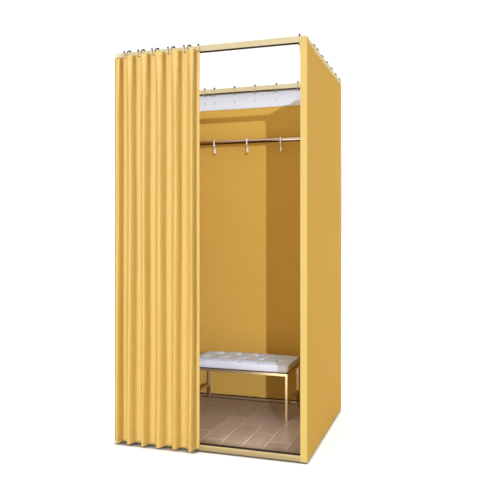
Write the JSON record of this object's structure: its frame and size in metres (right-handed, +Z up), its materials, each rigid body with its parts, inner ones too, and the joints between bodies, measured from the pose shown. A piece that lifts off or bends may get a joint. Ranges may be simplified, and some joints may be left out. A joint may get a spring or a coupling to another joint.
{
  "type": "portable fitting room",
  "caption": "Square-tube cabin with a pleated ring curtain across the front, flat curtains on three sides, a hanging rail with hooks, a floor board and an upholstered bench.",
  "frame": {"origin": "on the ground, at the middle of the frame's square footprint, on the underside of the floor board", "axes": "+Z up along the posts, +X to the right seen from the open front, +Y from the front curtain into the cabin"},
  "size_m": [1.024, 1.0647, 2.0119],
  "materials": {
    "frame_gold": "satin pale gold coat on square tube",
    "corner_gold": "pale gold moulded plastic",
    "glide_rubber": "matt black",
    "floor_planks": "brown planks with lighter joints, satin",
    "curtain_yellow": "golden yellow woven blackout cloth",
    "tape_white": "white woven header tape",
    "ring_bronze": "dark bronze wire",
    "rail_copper": "polished copper brown tube",
    "sleeve_brown": "brown nylon bush",
    "hook_cream": "cream gold enamelled strip",
    "bench_gold": "satin champagne gold coat",
    "board_brown": "dark stained plywood",
    "cushion_grey": "pale grey leatherette, button tufted"
  },
  "bodies": {
    "cabin": {"post_front_left": "frame_gold", "post_front_right": "frame_gold", "post_back_left": "frame_gold", "post_back_right": "frame_gold", "rail_base_front": "frame_gold", "rail_base_back": "frame_gold", "rail_base_left": "frame_gold", "rail_base_right": "frame_gold", "rail_top_front": "frame_gold", "rail_top_back": "frame_gold", "rail_top_left": "frame_gold", "rail_top_right": "frame_gold", "corner_base_front_left": "corner_gold", "corner_base_front_right": "corner_gold", "corner_base_back_left": "corner_gold", "corner_base_back_right": "corner_gold", "corner_top_front_left": "corner_gold", "corner_top_front_right": "corner_gold", "corner_top_back_left": "corner_gold", "corner_top_back_right": "corner_gold", "glide_front_left": "glide_rubber", "glide_front_right": "glide_rubber", "glide_back_left": "glide_rubber", "glide_back_right": "glide_rubber", "floor_board": "floor_planks", "right_curtain": "curtain_yellow", "left_curtain": "curtain_yellow", "back_curtain": "curtain_yellow", "front_curtain": "curtain_yellow", "right_header_tape": "tape_white", "left_header_tape": "tape_white", "back_header_tape": "tape_white", "hanging_rail": "rail_copper", "rail_bracket_left": "frame_gold", "rail_bracket_right": "frame_gold"},
    "ring_01": {"curtain_ring_01": "ring_bronze"},
    "ring_02": {"curtain_ring_02": "ring_bronze"},
    "ring_03": {"curtain_ring_03": "ring_bronze"},
    "ring_04": {"curtain_ring_04": "ring_bronze"},
    "ring_05": {"curtain_ring_05": "ring_bronze"},
    "ring_06": {"curtain_ring_06": "ring_bronze"},
    "ring_07": {"curtain_ring_07": "ring_bronze"},
    "ring_08": {"curtain_ring_08": "ring_bronze"},
    "ring_09": {"curtain_ring_09": "ring_bronze"},
    "ring_10": {"curtain_ring_10": "ring_bronze"},
    "lead_ring": {"curtain_ring_11": "ring_bronze"},
    "sleeve_1": {"hook_sleeve_1": "sleeve_brown"},
    "sleeve_2": {"hook_sleeve_2": "sleeve_brown"},
    "sleeve_3": {"hook_sleeve_3": "sleeve_brown"},
    "sleeve_4": {"hook_sleeve_4": "sleeve_brown"},
    "hanger_hook_1": {"hook_1": "hook_cream"},
    "hanger_hook_2": {"hook_2": "hook_cream"},
    "hanger_hook_3": {"hook_3": "hook_cream"},
    "hanger_hook_4": {"hook_4": "hook_cream"},
    "bench": {"bench_frame": "bench_gold", "bench_board": "board_brown", "bench_cushion": "cushion_grey"}
  },
  "joints": [
    {"name": "curtain_draw", "type": "slide", "parent": "cabin", "child": "lead_ring", "axis": [1, 0, 0], "range_m": [-0.05, 0.485], "deforming": ["front_curtain"]},
    {"name": "ring_01_slide", "type": "slide", "parent": "cabin", "child": "ring_01", "axis": [1, 0, 0], "range_m": [-0.0018, 0.017]},
    {"name": "ring_02_slide", "type": "slide", "parent": "cabin", "child": "ring_02", "axis": [1, 0, 0], "range_m": [-0.003, 0.029]},
    {"name": "ring_03_slide", "type": "slide", "parent": "cabin", "child": "ring_03", "axis": [1, 0, 0], "range_m": [-0.0098, 0.095]},
    {"name": "ring_04_slide", "type": "slide", "parent": "cabin", "child": "ring_04", "axis": [1, 0, 0], "range_m": [-0.0121, 0.117]},
    {"name": "ring_05_slide", "type": "slide", "parent": "cabin", "child": "ring_05", "axis": [1, 0, 0], "range_m": [-0.0216, 0.209]},
    {"name": "ring_06_slide", "type": "slide", "parent": "cabin", "child": "ring_06", "axis": [1, 0, 0], "range_m": [-0.0242, 0.235]},
    {"name": "ring_07_slide", "type": "slide", "parent": "cabin", "child": "ring_07", "axis": [1, 0, 0], "range_m": [-0.0356, 0.345]},
    {"name": "ring_08_slide", "type": "slide", "parent": "cabin", "child": "ring_08", "axis": [1, 0, 0], "range_m": [-0.038, 0.368]},
    {"name": "ring_09_slide", "type": "slide", "parent": "cabin", "child": "ring_09", "axis": [1, 0, 0], "range_m": [-0.0463, 0.449]},
    {"name": "ring_10_slide", "type": "slide", "parent": "cabin", "child": "ring_10", "axis": [1, 0, 0], "range_m": [-0.0477, 0.4625]},
    {"name": "sleeve_1_slide", "type": "slide", "parent": "cabin", "child": "sleeve_1", "axis": [1, 0, 0], "range_m": [-0.09, 0.09]},
    {"name": "sleeve_2_slide", "type": "slide", "parent": "cabin", "child": "sleeve_2", "axis": [1, 0, 0], "range_m": [-0.09, 0.09]},
    {"name": "sleeve_3_slide", "type": "slide", "parent": "cabin", "child": "sleeve_3", "axis": [1, 0, 0], "range_m": [-0.09, 0.09]},
    {"name": "sleeve_4_slide", "type": "slide", "parent": "cabin", "child": "sleeve_4", "axis": [1, 0, 0], "range_m": [-0.09, 0.09]},
    {"name": "hook_1_swing", "type": "hinge", "parent": "sleeve_1", "child": "hanger_hook_1", "pos_m": [-0.296, 0.4535, 1.651], "axis": [-1, 0, 0], "range_deg": [-15, 75]},
    {"name": "hook_2_swing", "type": "hinge", "parent": "sleeve_2", "child": "hanger_hook_2", "pos_m": [-0.078, 0.4535, 1.651], "axis": [-1, 0, 0], "range_deg": [-15, 75]},
    {"name": "hook_3_swing", "type": "hinge", "parent": "sleeve_3", "child": "hanger_hook_3", "pos_m": [0.14, 0.4535, 1.651], "axis": [-1, 0, 0], "range_deg": [-15, 75]},
    {"name": "hook_4_swing", "type": "hinge", "parent": "sleeve_4", "child": "hanger_hook_4", "pos_m": [0.358, 0.4535, 1.651], "axis": [-1, 0, 0], "range_deg": [-15, 75]},
    {"name": "bench_slide", "type": "slide", "parent": "cabin", "child": "bench", "axis": [0, 1, 0], "range_m": [-0.25, 0.05]}
  ],
  "couplings": [
    {"joint": "ring_01_slide", "follows": "curtain_draw", "ratio": 0.0347},
    {"joint": "ring_02_slide", "follows": "curtain_draw", "ratio": 0.0588},
    {"joint": "ring_03_slide", "follows": "curtain_draw", "ratio": 0.1954},
    {"joint": "ring_04_slide", "follows": "curtain_draw", "ratio": 0.2404},
    {"joint": "ring_05_slide", "follows": "curtain_draw", "ratio": 0.4303},
    {"joint": "ring_06_slide", "follows": "curtain_draw", "ratio": 0.4835},
    {"joint": "ring_07_slide", "follows": "curtain_draw", "ratio": 0.7104},
    {"joint": "ring_08_slide", "follows": "curtain_draw", "ratio": 0.7582},
    {"joint": "ring_09_slide", "follows": "curtain_draw", "ratio": 0.9254},
    {"joint": "ring_10_slide", "follows": "curtain_draw", "ratio": 0.9525}
  ]
}
